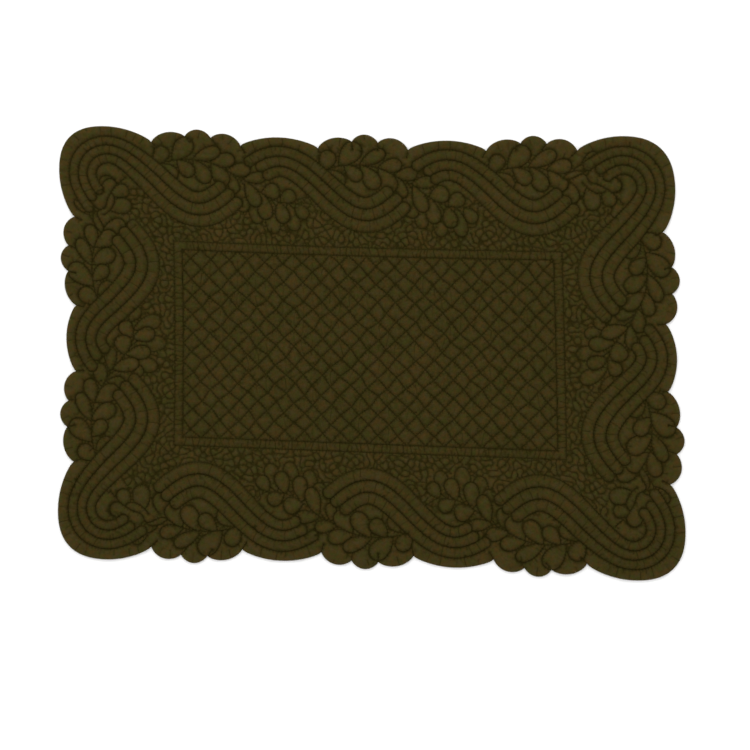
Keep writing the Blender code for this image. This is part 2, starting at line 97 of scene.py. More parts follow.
class Crest:
    """An outer crest of the wave, with the headings of the sides that reach it and leave it."""

    def __init__(self, at, before, after, half):
        self.at = np.array(at)
        self.before = np.array(before)
        self.after = np.array(after)
        self.half = half
        self.corner = before != after

    def spot(self, phase, out):
        """The place at a phase of the wave, this far out from the rectangle."""
        heading = self.after if phase > 0 else self.before
        to_notch = min(abs(phase), NOTCH_PHASE)
        past_notch = abs(phase) - to_notch
        run = self.half * to_notch / NOTCH_PHASE + LEAF_SPAN * past_notch / (360 - 2 * NOTCH_PHASE)
        outward = np.array((-heading[1], heading[0]))
        return self.at + heading * math.copysign(run, phase) + outward * out

    def trace(self, start, end, out):
        """The curve from one phase to another and its phases. out(phase, diagonal) is how far out it lies.

        A corner is swept round at phase 0, where diagonal rises to 1 halfway and falls to 0 again.
        """
        count = max(4, round(abs(end - start) / PHASE_STEP))
        stops = [(phase, None) for phase in np.linspace(start, end, count)]
        if self.corner and start < 0 < end:
            swept = [(0.0, turn) for turn in np.linspace(0, math.pi / 2, 24)]
            stops = [s for s in stops if s[0] < -1] + swept + [s for s in stops if s[0] > 1]
        points = []
        for phase, turn in stops:
            if turn is None:
                points.append(self.spot(phase, out(phase, 0)))
            else:
                bearing = math.atan2(self.before[0], -self.before[1]) - turn
                reach = out(0, math.sin(2 * turn) ** 2)
                points.append(self.at + reach * np.array((math.cos(bearing), math.sin(bearing))))
        return np.array(points), np.array([phase for phase, _ in stops])

    def cornered(self, phase):
        """How much of a corner's own shape applies at a phase, from 0 to 1."""
        return math.cos(math.radians(phase)) ** 2 if self.corner and abs(phase) < 90 else 0.0


long_side = 2 * CORNER_RUN + (LONG_CRESTS + 1) * LEAF_SPAN + LONG_CRESTS * 2 * LONG_WIDE_HALF
short_side = 2 * CORNER_RUN + (SHORT_CRESTS + 1) * LEAF_SPAN + SHORT_CRESTS * 2 * SHORT_WIDE_HALF
sides = (
    # corner where it starts, heading, crests on it, half of its wide scallops
    ((-long_side / 2, short_side / 2), (1, 0), LONG_CRESTS, LONG_WIDE_HALF),
    ((long_side / 2, short_side / 2), (0, -1), SHORT_CRESTS, SHORT_WIDE_HALF),
    ((long_side / 2, -short_side / 2), (-1, 0), LONG_CRESTS, LONG_WIDE_HALF),
    ((-long_side / 2, -short_side / 2), (0, 1), SHORT_CRESTS, SHORT_WIDE_HALF),
)
crests = []
for k, (corner, heading, count, half) in enumerate(sides):
    crests.append(Crest(corner, sides[k - 1][1], heading, CORNER_RUN))
    for n in range(count):
        run = CORNER_RUN + (n + 1) * LEAF_SPAN + (2 * n + 1) * half
        crests.append(Crest(np.array(corner) + run * np.array(heading), heading, heading, half))

arches, notches = [], []
for crest in crests:
    reach = CORNER_OUT if crest.corner else WIDE_OUT

    def out(phase, diagonal):
        fall = max(0.0, math.cos(math.radians(90 * phase / NOTCH_PHASE))) ** EDGE_FULLNESS
        return NOTCH_OUT + (reach - NOTCH_OUT) * fall + CORNER_SQUARE * diagonal

    arches.append(crest.trace(-NOTCH_PHASE, NOTCH_PHASE, out)[0])
    start = crest.spot(NOTCH_PHASE, NOTCH_OUT)
    for share, distance, bulge in LOBES:
        end = crest.spot(NOTCH_PHASE + share * (360 - 2 * NOTCH_PHASE), distance)
        arches.append(bulged(start, end, bulge))
        notches.append(start)
        start = end
    notches.append(start)
edge = np.vstack([evenly(arch, EDGE_STEP)[:-1] for arch in arches])
seams = [np.array((notch, notch * (1 - NOTCH_SEAM / np.hypot(*notch)))) for notch in notches]


# The ribbon: three corded channels that wind along the border, one length of them over each crest. Each
# channel ends in a rounded tip, and the lengths lie over the vine and under nothing.
RIBBON_MEAN = -0.0033               # its middle line, out from the rectangle, is mean + swing * cos
RIBBON_SWING = 0.0202
RIBBON_HALF = 0.0129                # half its width is this less the change times cos
RIBBON_CHANGE = 0.0009
RIBBON_CORNER_OUT = 0.0037          # in a corner loop it lies this much further out
RIBBON_CORNER_THIN = 0.0014         # and is this much thinner to each side
CHANNELS = (                        # wave phases, in degrees, where each channel starts and ends
    (-53.0, 248.0),
    (-44.0, 251.0),
    (-41.0, 251.0),
)
CHANNEL_TIP = 0.0030                # roundness of a channel's end


class Ribbon:
    """One length of the ribbon over one crest: its outline, the parts of that, and the seams inside it."""

    def __init__(self, crest):
        def out(phase, diagonal):
            return (RIBBON_MEAN + RIBBON_SWING * math.cos(math.radians(phase))
                    + RIBBON_CORNER_OUT * crest.cornered(phase))

        middle, phases = crest.trace(CHANNELS[0][0], CHANNELS[-1][1], out)
        halves = np.array([RIBBON_HALF - RIBBON_CHANGE * math.cos(math.radians(phase))
                           - RIBBON_CORNER_THIN * crest.cornered(phase) for phase in phases])
        outward = left_of(middle) * halves[:, None]
        rows = len(CHANNELS)
        lines = [middle + outward * (1 - 2 * k / rows) for k in range(rows + 1)]
        spans = [[int(np.abs(phases - phase).argmin()) for phase in channel] for channel in CHANNELS]

        def tip(k, at, way):
            """The rounded end of channel k at a point of its middle line, bulging the way it ends."""
            return bulged(*((lines[k][at], lines[k + 1][at])[::way]), CHANNEL_TIP)[::way]

        ahead, back = [], []
        for k, (start, end) in enumerate(spans):
            ahead += [tip(k, end, 1)] + ([lines[k + 1][end:spans[k + 1][1]]] if k + 1 < rows else [])
            back += [tip(k, start, -1)] + ([lines[k + 1][start:spans[k + 1][0]]] if k + 1 < rows else [])
        first, last = spans[0], spans[-1]
        self.parts = ([lines[0][first[0]:first[1] + 1]] + ahead + [lines[-1][last[0]:last[1] + 1][::-1]]
                      + [piece[::-1] for piece in back[::-1]])
        self.outline = np.vstack([piece for piece in self.parts if len(piece)])
        self.seams = [lines[k + 1][spans[k + 1][0]:spans[k][1] + 1] for k in range(rows - 1)]
        self.channels = [(lines[k][start:end + 1], lines[k + 1][start:end + 1])
                         for k, (start, end) in enumerate(spans)]


ribbons = [Ribbon(crest) for crest in crests]
covers = [ribbon.outline for ribbon in ribbons]
for ribbon in ribbons:
    seams += [part for part in ribbon.parts + ribbon.seams if len(part) > 1]


# The vine: a stem that dips under the ribbons, with stuffed leaves along both sides. Each leaf lies over
# the ones that come after it in its table, and starts on the stem.
STEM_OUTER = (                      # wave phase after the crest, distance out
    (86.0, 0.0100), (112.0, 0.0132), (150.0, 0.0155), (190.0, 0.0152), (225.0, 0.0118), (255.0, 0.0060),
)
STEM_INNER = (                      # wave phase about the next crest, distance out
    (-72.0, 0.0000), (-50.0, -0.0065), (-22.0, -0.0130), (8.0, -0.0160), (38.0, -0.0155), (62.0, -0.0090),
)
STEM_CORNER = (                     # along the side that leaves a corner, and out from it
    (-0.0104, -0.0306), (-0.0042, -0.0253), (-0.0016, -0.0183), (0.0037, -0.0095), (0.0125, -0.0010),
)
LEAF_POINT = 0.90                   # how slender a leaf's foot is
LEAVES_OUTER = (
    # distance along the stem, side (1 is outward), length, width, lean from the stem in degrees
    (0.001, 1, 0.0172, 0.0123, 41), (0.003, -1, 0.0185, 0.0120, -56),
    (0.015, 1, 0.0232, 0.0145, 38), (0.019, -1, 0.0170, 0.0114, -50),
    (0.031, 1, 0.0235, 0.0108, 27), (0.032, -1, 0.0215, 0.0130, -53),
    (0.045, 1, 0.0190, 0.0110, 30), (0.046, -1, 0.0205, 0.0128, -36),
    (0.059, 1, 0.0175, 0.0105, 36),
)
LEAVES_INNER = (
    (0.062, -1, 0.0165, 0.0085, -48), (0.073, 1, 0.0185, 0.0095, 34),
    (0.075, -1, 0.0225, 0.0112, -38), (0.090, 1, 0.0150, 0.0130, 48),
    (0.091, -1, 0.0200, 0.0112, -46), (0.105, -1, 0.0172, 0.0110, -60),
    (0.106, 1, 0.0140, 0.0110, 46), (0.118, -1, 0.0145, 0.0105, -62),
    (0.068, -1, 0.0290, 0.0125, -52), (0.083, -1, 0.0290, 0.0118, -46),
    (0.098, -1, 0.0275, 0.0118, -58), (0.112, -1, 0.0225, 0.0112, -70),
)
LEAVES_CORNER = (
    (0.060, -1, 0.0200, 0.0115, -38), (0.063, 1, 0.0185, 0.0095, 32),
    (0.072, -1, 0.0235, 0.0132, -50), (0.073, 1, 0.0215, 0.0095, 30),
    (0.082, 1, 0.0250, 0.0120, 42), (0.084, -1, 0.0215, 0.0130, -50),
    (0.091, 1, 0.0185, 0.0125, 22), (0.095, -1, 0.0150, 0.0105, -42),
)
CLEAR_OF_STEM = 0.0005              # a leaf's own seam starts this far from the stem
COVER_REACH = 0.080                 # no leaf or stem reaches further than this from its first point
SHORTEST_SEAM = 0.003
HAND = random.Random(7)             # the small unevenness of hand work
LEAF_TURN = 4                       # degrees by which a leaf strays from its lean
LEAF_SIZES = (0.96, 1.05)


def smooth_through(points):
    """A smooth curve through a few points: a Catmull-Rom spline."""
    points = np.array(points)
    ends = np.vstack((2 * points[0] - points[1], points, 2 * points[-1] - points[-2]))
    t = np.linspace(0, 1, 16, endpoint=False)[:, None]
    pieces = []
    for a, b, c, d in zip(ends, ends[1:], ends[2:], ends[3:]):
        pieces.append(0.5 * (2 * b + (c - a) * t + (2 * a - 5 * b + 4 * c - d) * t**2
                             + (3 * b - a - 3 * c + d) * t**3))
    return evenly(np.vstack(pieces + [points[-1:]]), DRAWN_STEP)


def within(points, outline):
    """Whether each point lies inside a closed outline."""
    low, high = outline.min(axis=0), outline.max(axis=0)
    inside = ((points >= low) & (points <= high)).all(axis=1)
    near = np.flatnonzero(inside)
    x, y = points[near, 0][:, None], points[near, 1][:, None]
    x0, y0 = outline.T
    x1, y1 = np.roll(outline, -1, axis=0).T
    rise = np.where(y1 == y0, 1, y1 - y0)
    hits = ((y0 > y) != (y1 > y)) & (x < (x1 - x0) * (y - y0) / rise + x0)
    inside[near] = hits.sum(axis=1) % 2 == 1
    return inside


def where_crossed(start, end, outline):
    """Where the segment from start to end first meets a closed outline."""
    run, sides = end - start, np.roll(outline, -1, axis=0) - outline
    gap = outline - start
    turn = run[0] * sides[:, 1] - run[1] * sides[:, 0]
    turn[turn == 0] = 1e-12
    t = (gap[:, 0] * sides[:, 1] - gap[:, 1] * sides[:, 0]) / turn
    u = (gap[:, 0] * run[1] - gap[:, 1] * run[0]) / turn
    met = t[(u >= 0) & (u <= 1) & (t >= 0) & (t <= 1)]
    return start + run * (met.min() if len(met) else 0.5)


def uncovered(line, cover):
    """The stretches of a line outside a closed outline, ended on it."""
    hidden = within(line, cover)
    if not hidden.any():
        return [line]
    stretches, stretch = [], []
    for k, point in enumerate(line):
        if k and hidden[k] != hidden[k - 1]:
            stretch.append(where_crossed(line[k - 1], point, cover))
            if hidden[k]:
                stretches.append(np.array(stretch))
                stretch = []
        if not hidden[k]:
            stretch.append(point)
    if len(stretch) > 1:
        stretches.append(np.array(stretch))
    return stretches


def in_sight(line, start):
    """The stretches of a line that no ribbon or leaf near its start hides."""
    pieces = [line]
    for cover in covers:
        if np.hypot(*(cover - start).T).min() < COVER_REACH:
            pieces = [stretch for piece in pieces for stretch in uncovered(piece, cover)]
    return [piece for piece in pieces if len(piece) > SHORTEST_SEAM / DRAWN_STEP]


class Leaf:
    """A teardrop leaf: its outline, and the part of it that is sewn."""

    def __init__(self, base, bearing, length, width, stem, side):
        share = (1 - np.cos(np.linspace(0, math.pi, 16))) / 2
        half = share ** LEAF_POINT * np.sqrt(1 - share)
        half *= width / 2 / half.max()
        axis = np.array((math.cos(bearing), math.sin(bearing)))
        across = np.array((-axis[1], axis[0]))
        spine = base + axis * length * share[:, None]
        there = spine + across * half[:, None]
        back = spine - across * half[:, None]
        self.outline = evenly(np.vstack((there, back[-2::-1])), DRAWN_STEP)[:-1]
        loop = np.vstack((self.outline, self.outline[:1]))
        gaps = loop[:, None] - stem[None]
        nearest = np.hypot(gaps[..., 0], gaps[..., 1]).argmin(axis=1)
        offset = loop - stem[nearest]
        keep = (offset * left_of(stem)[nearest]).sum(axis=1) * side > CLEAR_OF_STEM
        kept = np.flatnonzero(keep)
        self.seam = loop[kept[0]:kept[-1] + 1]


leaves = []
for crest, following in zip(crests, crests[1:] + crests[:1]):
    knots = [crest.spot(phase, out) for phase, out in STEM_OUTER]
    if following.corner:
        heading = following.after
        outward = np.array((-heading[1], heading[0]))
        knots += [following.at + heading * along + outward * out for along, out in STEM_CORNER]
    else:
        knots += [following.spot(phase, out) for phase, out in STEM_INNER]
    stem = smooth_through(knots)
    beside_stem = left_of(stem)
    sprig = []
    for place, side, length, width, lean in LEAVES_OUTER + (
            LEAVES_CORNER if following.corner else LEAVES_INNER):
        at = min(len(stem) - 1, round(place / DRAWN_STEP))
        run = np.array((beside_stem[at][1], -beside_stem[at][0]))
        bearing = math.atan2(run[1], run[0]) + math.radians(lean + HAND.uniform(-LEAF_TURN, LEAF_TURN))
        size = HAND.uniform(*LEAF_SIZES)
        sprig.append(Leaf(stem[at], bearing, length * size, width * size, stem, side))
    seams += in_sight(stem, stem[0])
    for leaf in sprig:
        seams += in_sight(leaf.seam, leaf.outline[0])
        covers.append(leaf.outline)
    leaves += sprig


# The middle: a frame of two seams with a filled strip between them, and a field of diamonds inside it,
# each crossing a little out of true as it is sewn by hand.
FRAME_LENGTH, FRAME_WIDTH = 0.299, 0.159
FRAME_STRIP = 0.0065
DIAMONDS_LONG, DIAMONDS_WIDE = 20, 10
KNOT_STRAY = 0.0010                 # how far a crossing of the diamonds strays


def rectangle(length, width):
    """The outline of a rectangle about the middle."""
    return np.array(((-1, 1), (1, 1), (1, -1), (-1, -1), (-1, 1))) * (length / 2, width / 2)


field_length, field_width = FRAME_LENGTH - 2 * FRAME_STRIP, FRAME_WIDTH - 2 * FRAME_STRIP
across, down = field_length / DIAMONDS_LONG / 2, field_width / DIAMONDS_WIDE / 2
columns, rows = 2 * DIAMONDS_LONG, 2 * DIAMONDS_WIDE
crossings = {}
for a in range(columns + 1):
    for b in range(rows + 1):
        inner = 0 < a < columns and 0 < b < rows
        stray = np.array((HAND.uniform(-1, 1), HAND.uniform(-1, 1))) * KNOT_STRAY * inner
        if (a + b) % 2 == 0:
            crossings[a, b] = np.array((a * across - field_length / 2, b * down - field_width / 2)) + stray
slants_from = len(seams)
for rise in (1, -1):
    for a, b in crossings:
        if (a - 1, b - rise) not in crossings:
            steps = [(a + n, b + n * rise) for n in range(rows + 1)]
            slant = [crossings[step] for step in steps if step in crossings]
            if len(slant) > 1:
                seams.append(smooth_through(slant))
    if rise > 0:
        slack = range(slants_from, len(seams))  # the rising slants, which are sewn less tightly
frame_line = rectangle(FRAME_LENGTH, FRAME_WIDTH)
field_line = rectangle(field_length, field_width)
seams += [frame_line, field_line]


# The ground between the border and the frame: fine wandering stippling that never crosses itself. It
# runs where a few slow waves cancel out, which draws such loops, and it ends at the other seams.
STIPPLE_WAVES = 14
WAVE_TURN = 0.4                     # how unevenly they head, as a share of the angle between two
WAVE_PACES = (0.82, 1.22)
STIPPLE_PITCH = 0.0084              # across two rows of the stippling, on average
STIPPLE_STEP = 0.0012
STIPPLE_APART = 0.0009              # a line that starts nearer than this to another is the same one
SEED_STEP = 0.0016                  # between the places at which it is looked for
SEED_HEIGHT = 0.01                  # the waves have cancelled out when they are no higher than this
TREE_STEP = 0.0005                  # step of the points by which a line is looked up
GROUND_FROM = -0.0090               # how far out from the rectangle the stippling begins
CLEAR_OF_SEAM = 0.0005
CLEAR_OF_LEAF = 0.0018
SHORTEST_STIPPLE = 0.0025

paces, turns = [], []
for n in range(STIPPLE_WAVES):
    bearing = math.pi * (n + HAND.uniform(-WAVE_TURN, WAVE_TURN)) / STIPPLE_WAVES
    pace = 2 * math.pi / STIPPLE_PITCH * HAND.uniform(*WAVE_PACES)
    paces.append((pace * math.cos(bearing), pace * math.sin(bearing)))
    turns.append(HAND.uniform(0, 2 * math.pi))
paces, turns = np.array(paces), np.array(turns)


def swell(places):
    """The height and the slope of the waves at some places."""
    phase = places @ paces.T + turns
    return np.cos(phase).sum(axis=1), -np.sin(phase) @ paces


def settled(places):
    """The nearest places at which the waves cancel out."""
    for _ in range(3):
        height, slope = swell(places)
        places = places - slope * (height / ((slope ** 2).sum(axis=1) + 1))[:, None]
    return places


def out_from_rectangle(points):
    """How far each point lies outside the rectangle through the corner loops, or inside it if negative."""
    return np.maximum(np.abs(points[:, 0]) - long_side / 2, np.abs(points[:, 1]) - short_side / 2)


def on_ground(points):
    """Whether each point is on the open ground between the border's pieces and the frame."""
    free = out_from_rectangle(points) < GROUND_FROM
    for cover in covers + [frame_line[:-1]]:
        free[free] = ~within(points[free], cover)
    return free


def tree_of(points):
    """A search tree over points of the plane."""
    tree = KDTree(len(points))
    for k, point in enumerate(points):
        tree.insert((*point, 0), k)
    tree.balance()
    return tree


def distances(tree, points):
    """How far each point is from the nearest of a tree's."""
    return np.array([tree.find((*point, 0))[2] for point in points])


reach = np.array((long_side, short_side)) / 2 + GROUND_FROM
seeds = np.stack(np.meshgrid(*(np.arange(-far, far, SEED_STEP) for far in reach)), axis=-1).reshape(-1, 2)
seeds = settled(seeds[on_ground(seeds)])
height, slope = swell(seeds)
seeds = seeds[(np.abs(height) < SEED_HEIGHT) & on_ground(seeds)]
drawn = {}


def square_of(place):
    return tuple(np.floor(place / STIPPLE_APART).astype(int))


def met(place):
    """The drawn points that are too near to a place for it to be on another line."""
    i, j = square_of(place)
    near = [point for a in (-1, 0, 1) for b in (-1, 0, 1) for point in drawn.get((i + a, j + b), ())]
    return [point for point in near if math.dist(point, place) < STIPPLE_APART]


def followed(place, way):
    """The stippling from a place, one way, until it leaves the rectangle or meets a line, mostly its own."""
    line = []
    while (np.abs(place) < reach).all():
        slope = swell(place[None])[1][0]
        place = settled((place + way * STIPPLE_STEP * np.array((-slope[1], slope[0]))
                         / np.hypot(*slope))[None])[0]
        ends = met(place)
        if ends:
            return line + ends[:1]
        drawn.setdefault(square_of(place), []).append(place)
        line.append(place)
    return line


lines = []
for seed in seeds:
    if not met(seed):
        drawn.setdefault(square_of(seed), []).append(seed)
        lines.append(np.array(followed(seed, -1)[::-1] + [seed] + followed(seed, 1)))
points = np.vstack(lines)
owner = np.repeat(np.arange(len(lines)), [len(line) for line in lines])
free = on_ground(points)
sewn = tree_of(np.vstack([evenly(line, TREE_STEP) for line in seams]))
free[free] = distances(sewn, points[free]) > CLEAR_OF_SEAM
leafy = tree_of(np.vstack([leaf.outline for leaf in leaves]))
free[free] = distances(leafy, points[free]) > CLEAR_OF_LEAF
stippling = []
for piece in np.split(np.arange(len(points)), np.flatnonzero(np.diff(owner * 2 + free)) + 1):
    if free[piece[0]] and len(piece) * STIPPLE_STEP > SHORTEST_STIPPLE:
        stippling.append(points[piece])


# Creases: sewing draws the cloth in, so it puckers in soft troughs across each channel, the rim and the
# frame's strip, down the middle of some diamonds, and in short pleats along every other seam.
CREASE_EVERY = 0.0085               # from one crease of a channel to the next, on average
CREASE_SPREAD = (0.6, 1.45)         # how much nearer and further than that the next one is
FIRST_CREASE = (0.3, 1)             # the same for the first
CREASE_STEP = 0.0013
CREASE_SHORT_OF = 0.0006            # the gap left between a crease and a seam
CREASE_LEAN = 0.0012                # how far its far end strays along the seam
CREASE_BOW = 0.0004
WHOLE_CREASES = 0.6                 # share of the creases that cross the whole channel
FADING = (0.35, 0.75)               # how far over it the others reach
RIM_CREASE_EVERY = 0.0095
RIM_REACH = 0.0090                  # the furthest that a crease runs in from the edge
RIM_OPEN = 0.8                      # share of that where no seam faces the edge
RIM_TO_SEAM = (0.0012, 0.0004, 0.0006)  # where the search for the facing seam starts, its step and its reach
STRIP_CREASE_EVERY = 0.0043
STRIP_CREASE_LEAN = 0.0026
STRIP_OVERRUN = 0.0022              # how far the longest of these run over the frame's seams
WRINKLED = 0.45                     # share of the diamonds with a crease down the middle
WRINKLE_FROM = 0.0028               # how far from the diamond's corners it stays
PLEAT_EVERY = 0.0062
FIRST_PLEAT = (0.2, 1)              # where it is, as a share of that
PLEAT_SPREAD = (0.5, 1.5)
PLEAT_LENGTHS = (0.0024, 0.0044)
PLEAT_STEP = 0.0011
PLEAT_LEAN = 0.5                    # in radians
PLEAT_CLEAR = 0.0009                # how far from its seam it starts
PLEAT_FREE = (0.00072, 0.00135)     # how far it keeps from seams and from creases


def crease(start, end, short_of=CREASE_SHORT_OF):
    """One crease between two places on facing seams, bowed a little, whole or fading out on the way."""
    run = end - start
    length = np.hypot(*run)
    ahead = run / length
    whole = HAND.random() < WHOLE_CREASES
    reaches = length - short_of if whole else length * HAND.uniform(*FADING)
    t = np.linspace(short_of, reaches, max(3, round((reaches - short_of) / CREASE_STEP) + 1))
    bow = HAND.uniform(-CREASE_BOW, CREASE_BOW) * np.sin(np.pi * t / length)
    return start + ahead * t[:, None] + np.array((-ahead[1], ahead[0])) * bow[:, None]


def creases_between(one, two, every, most_lean=CREASE_LEAN, overrun=0):
    """Creases across a channel, given as its two seams with points that face each other."""
    along = np.concatenate(([0], np.cumsum(np.hypot(*np.diff((one + two) / 2, axis=0).T))))
    at = every * HAND.uniform(*FIRST_CREASE)
    made = []
    while at < along[-1] - every / 3:
        lean = HAND.uniform(-most_lean, most_lean)
        here, there = (np.array([np.interp(at + way * lean / 2, along, line[:, k]) for k in (0, 1)])
                       for way, line in ((-1, one), (1, two)))
        short_of = -HAND.uniform(0, overrun) if overrun else CREASE_SHORT_OF
        made.append(crease(*((here, there) if HAND.random() < 0.5 else (there, here)), short_of))
        at += every * HAND.uniform(*CREASE_SPREAD)
    return made


creases = []
for ribbon in ribbons:
    for one, two in ribbon.channels:
        creases += creases_between(one, two, CREASE_EVERY)
for start, end in zip(field_line, field_line[1:]):
    side = np.array((start, end))
    outward = left_of(side) * FRAME_STRIP
    creases += creases_between(side, side + outward, STRIP_CREASE_EVERY, STRIP_CREASE_LEAN, STRIP_OVERRUN)
for (a, b), top in crossings.items():
    if (a, b - 2) in crossings and HAND.random() < WRINKLED:
        top, foot = top - (0, WRINKLE_FROM), crossings[a, b - 2] + (0, WRINKLE_FROM)
        aside = np.array((HAND.uniform(-1, 1), 0)) * CREASE_LEAN
        creases.append(crease(top + aside, foot) if HAND.random() < 0.5 else crease(foot + aside, top))
for arch in arches:
    inward = -left_of(arch)
    first, step, met_within = RIM_TO_SEAM
    steps = np.arange(first, RIM_REACH, step)
    facing = []
    for place, way in zip(arch, inward):
        hit = np.flatnonzero(distances(sewn, place + steps[:, None] * way) < met_within)
        facing.append(place + way * (steps[hit[0]] if len(hit) else RIM_REACH * RIM_OPEN))
    creases += creases_between(arch[2:-2], np.array(facing)[2:-2], RIM_CREASE_EVERY)

loop = np.vstack((edge, edge[:1]))
sewn = tree_of(np.vstack([evenly(line, TREE_STEP) for line in seams + stippling + [loop]]))
puckered = tree_of(np.vstack([evenly(line, TREE_STEP) for line in creases]))
pleats = []
for line in seams:
    line = evenly(line, DRAWN_STEP)
    at = round(HAND.uniform(*FIRST_PLEAT) * PLEAT_EVERY / DRAWN_STEP)
    while at < len(line):
        across = left_of(line)[at] * HAND.choice((-1, 1))
        lean = HAND.uniform(-PLEAT_LEAN, PLEAT_LEAN)
        way = np.array((across[0] * math.cos(lean) - across[1] * math.sin(lean),
                        across[0] * math.sin(lean) + across[1] * math.cos(lean)))
        pleat = line[at] + way * np.arange(PLEAT_CLEAR, HAND.uniform(*PLEAT_LENGTHS), PLEAT_STEP)[:, None]
        gaps = np.array((distances(sewn, pleat).min(), distances(puckered, pleat).min()))
        if (gaps > PLEAT_FREE).all() and len(pleat) > 1:
            pleats.append(pleat)
        at += round(HAND.uniform(*PLEAT_SPREAD) * PLEAT_EVERY / DRAWN_STEP)
puckered = tree_of(np.vstack([evenly(line, TREE_STEP) for line in creases + pleats]))


# The cloth: face, wadding and backing sewn through as one closed form. The face is triangulated over the
# seams, with rows of points beside them, and rises between them as cloth does over wadding. The edge
# folds under to the backing, which lies on the table with its seams drawn up a little.
SEAM_STEP = 0.0024
FACE_ROWS = (
    # lines with a row of points to both sides, its distance, its step, its gap to points already there,
    # and how far it keeps from seams and from creases
    (creases, 0.0009, 0.0018, 0.0008, 0.0007, 0.000855),
    (stippling, 0.0006, 0.0022, 0.0009, 0.00057, 0.0006),
    (seams + [loop], 0.0006, 0.0024, 0.0009, 0.000558, 0.00054),
    (seams + [loop], 0.0020, 0.0026, 0.0014, 0.00186, 0.0011),
    (seams + [loop], 0.0034, 0.0030, 0.0018, 0.003162, 0.0011),
)
FACE_OPEN = (0.0021, 0.0014, 0.0012, 0.0011)    # a honeycomb's step between the rows, then the same three
MERGE, WELD = 0.00001, 0.00002      # points nearer than this become one, in a sheet and between sheets
MORE_THAN_CORNERS = 100000.0        # more than the mesh has corners
EDGE, SEAM, STIPPLE, CREASE, PLEAT, OPEN = range(6)
SHARPNESS = {                       # how dark the painted shade along each kind of line is, from and to
    SEAM: (0.90, 1.0), STIPPLE: (0.50, 0.80), CREASE: (0.55, 1.0), PLEAT: (0.45, 0.85),
}
SLACK_SHARPNESS = 0.85              # share of that in the seams that are sewn less tightly
SEWN_MEAN, SEWN_SWING, SEWN_SIZE = 0.88, 0.32, 0.008    # how it wavers along each line
SEAM_HEIGHT = 0.0014
PUFF_REACH = 0.0017                 # the wadding is nearly whole this far from every seam
PUFF_ROUND = 0.44                   # power of the puffing: less is rounder
PUFF_TURNS = 220                    # rounds of evening out in which it settles
PUFF_LIMITS = (0.02, 20)            # the weakest and the strongest pull between two neighbours, doubled
PARTS = {
    # loft over the seams, its crown's paleness as wear and painted light, how much of a seam's pull its
    # creases have, their sharpness as the darkness of their painted shade
    "channel": (0.0037, 1.03, 0.45, 1.3),
    "leaf": (0.0034, 1.17, 0.45, 1.1),
    "rim": (0.0033, 1.18, 0.60, 1.3),
    "strip": (0.0028, 1.02, 0.80, 1.4),
    "diamond": (0.0026, 1.01, 0.45, 1.0),
    "ground": (0.0021, 1.37, 0.45, 1.0),
}
CROWN = 0.40                        # power of the fullness with which the wear and the painted light grow
EDGE_HIGHLIGHT, EDGE_HIGHLIGHT_REACH = 1.6, 0.0012    # how strong the painted highlight along the edge is, and how far in it fades
# the even painted lightness of the backing, in place of the face's wear and painted light
BACK_LIGHT = 0.95
NOISE_SWING = 1.6                   # brings the noise to about -1 to 1
LUMPS = 0.09                        # how unevenly it is filled
LUMP_SIZES = (0.021, 0.0048)
SWAY = 0.0007                       # how far the mat lifts off the table in slow waves
SWAY_SIZE = 0.075
FOLD = (
    # how far inside the edge each ring of the folded edge lies, and its height
    (0.0000, 0.00115),
    (0.0003, 0.00060),
    (0.0011, 0.00015),
)
BACK_SEAM_STEP, BACK_STIPPLE_STEP = 0.0042, 0.0026
BACK_ROW = (seams + stippling, 0.0014, 0.0042, 0.0016, 0.0012, 0)
BACK_OPEN = (0.0052, 0.0036, 0.0026, 0)
BACK_CLEAR = 0.0008                 # how far the backing's seams keep from the folded edge
BACK_OPEN_CLEAR = 0.0010
BACK_SEAM_RISE = 0.00045
# how dark the painted shade along the backing's seams is
BACK_SHARPNESS = 0.8
REACH_X, REACH_Y = 0.240, 0.170     # where the mat's sides are, about
PULLS = {
    # side or corner of the mat, and how far the cloth is pulled there as it lies, along x and y
    (-1, 1): (-0.0070, -0.0030), (0, 1): (-0.0110, -0.0045), (1, 1): (-0.0110, 0.0040),
    (-1, 0): (0.0030, 0.0020), (1, 0): (0.0010, 0.0020),
    (-1, -1): (0.0030, 0.0015), (0, -1): (0.0040, 0.0020), (1, -1): (0.0110, -0.0015),
}


def spaced(points, gap, squares):
    """Those of the points that keep a gap to each other and to the ones kept before."""
    kept = []
    for point in points.tolist():
        i, j = int(point[0] // gap), int(point[1] // gap)
        near = [other for a in (-1, 0, 1) for b in (-1, 0, 1) for other in squares.get((i + a, j + b), ())]
        if all((point[0] - other[0]) ** 2 + (point[1] - other[1]) ** 2 > gap * gap for other in near):
            squares.setdefault((i, j), []).append(point)
            kept.append(point)
    return np.array(kept).reshape(-1, 2)


def beside(lines, away, step):
    """Points to both sides of some lines, each between two of a line's own."""
    rows = []
    for line in lines:
        line = evenly(line, step)
        run = np.diff(line, axis=0)
        across = np.column_stack((-run[:, 1], run[:, 0])) / (np.hypot(*run.T)[:, None] + 1e-9) * away
        rows += [(line[1:] + line[:-1]) / 2 + across, (line[1:] + line[:-1]) / 2 - across]
    return np.vstack(rows)


def honeycomb(step):
    """Rows of points over the whole mat, as a honeycomb's cells lie."""
    reach = np.abs(edge).max(axis=0)
    grid = []
    for row, y in enumerate(np.arange(-reach[1], reach[1], step * math.sqrt(3) / 2)):
        grid += [(x + row % 2 * step / 2, y) for x in np.arange(-reach[0], reach[0], step)]
    return np.array(grid)


def loose_points(rows, open_ground):
    """The points of a cloth's rows and of the honeycomb between them, clear of seams and creases."""
    groups = [(beside(lines, away, step), *rest) for lines, away, step, *rest in rows]
    groups.append((honeycomb(open_ground[0]), *open_ground[1:]))
    kept, squares = [], {}
    for points, gap, clear, clear_of_crease in groups:
        points = points[within(points, edge)]
        points = points[distances(sewn, points) > clear]
        if clear_of_crease:
            points = points[distances(puckered, points) > clear_of_crease]
        kept.append(spaced(points, gap, squares))
    return np.vstack(kept)


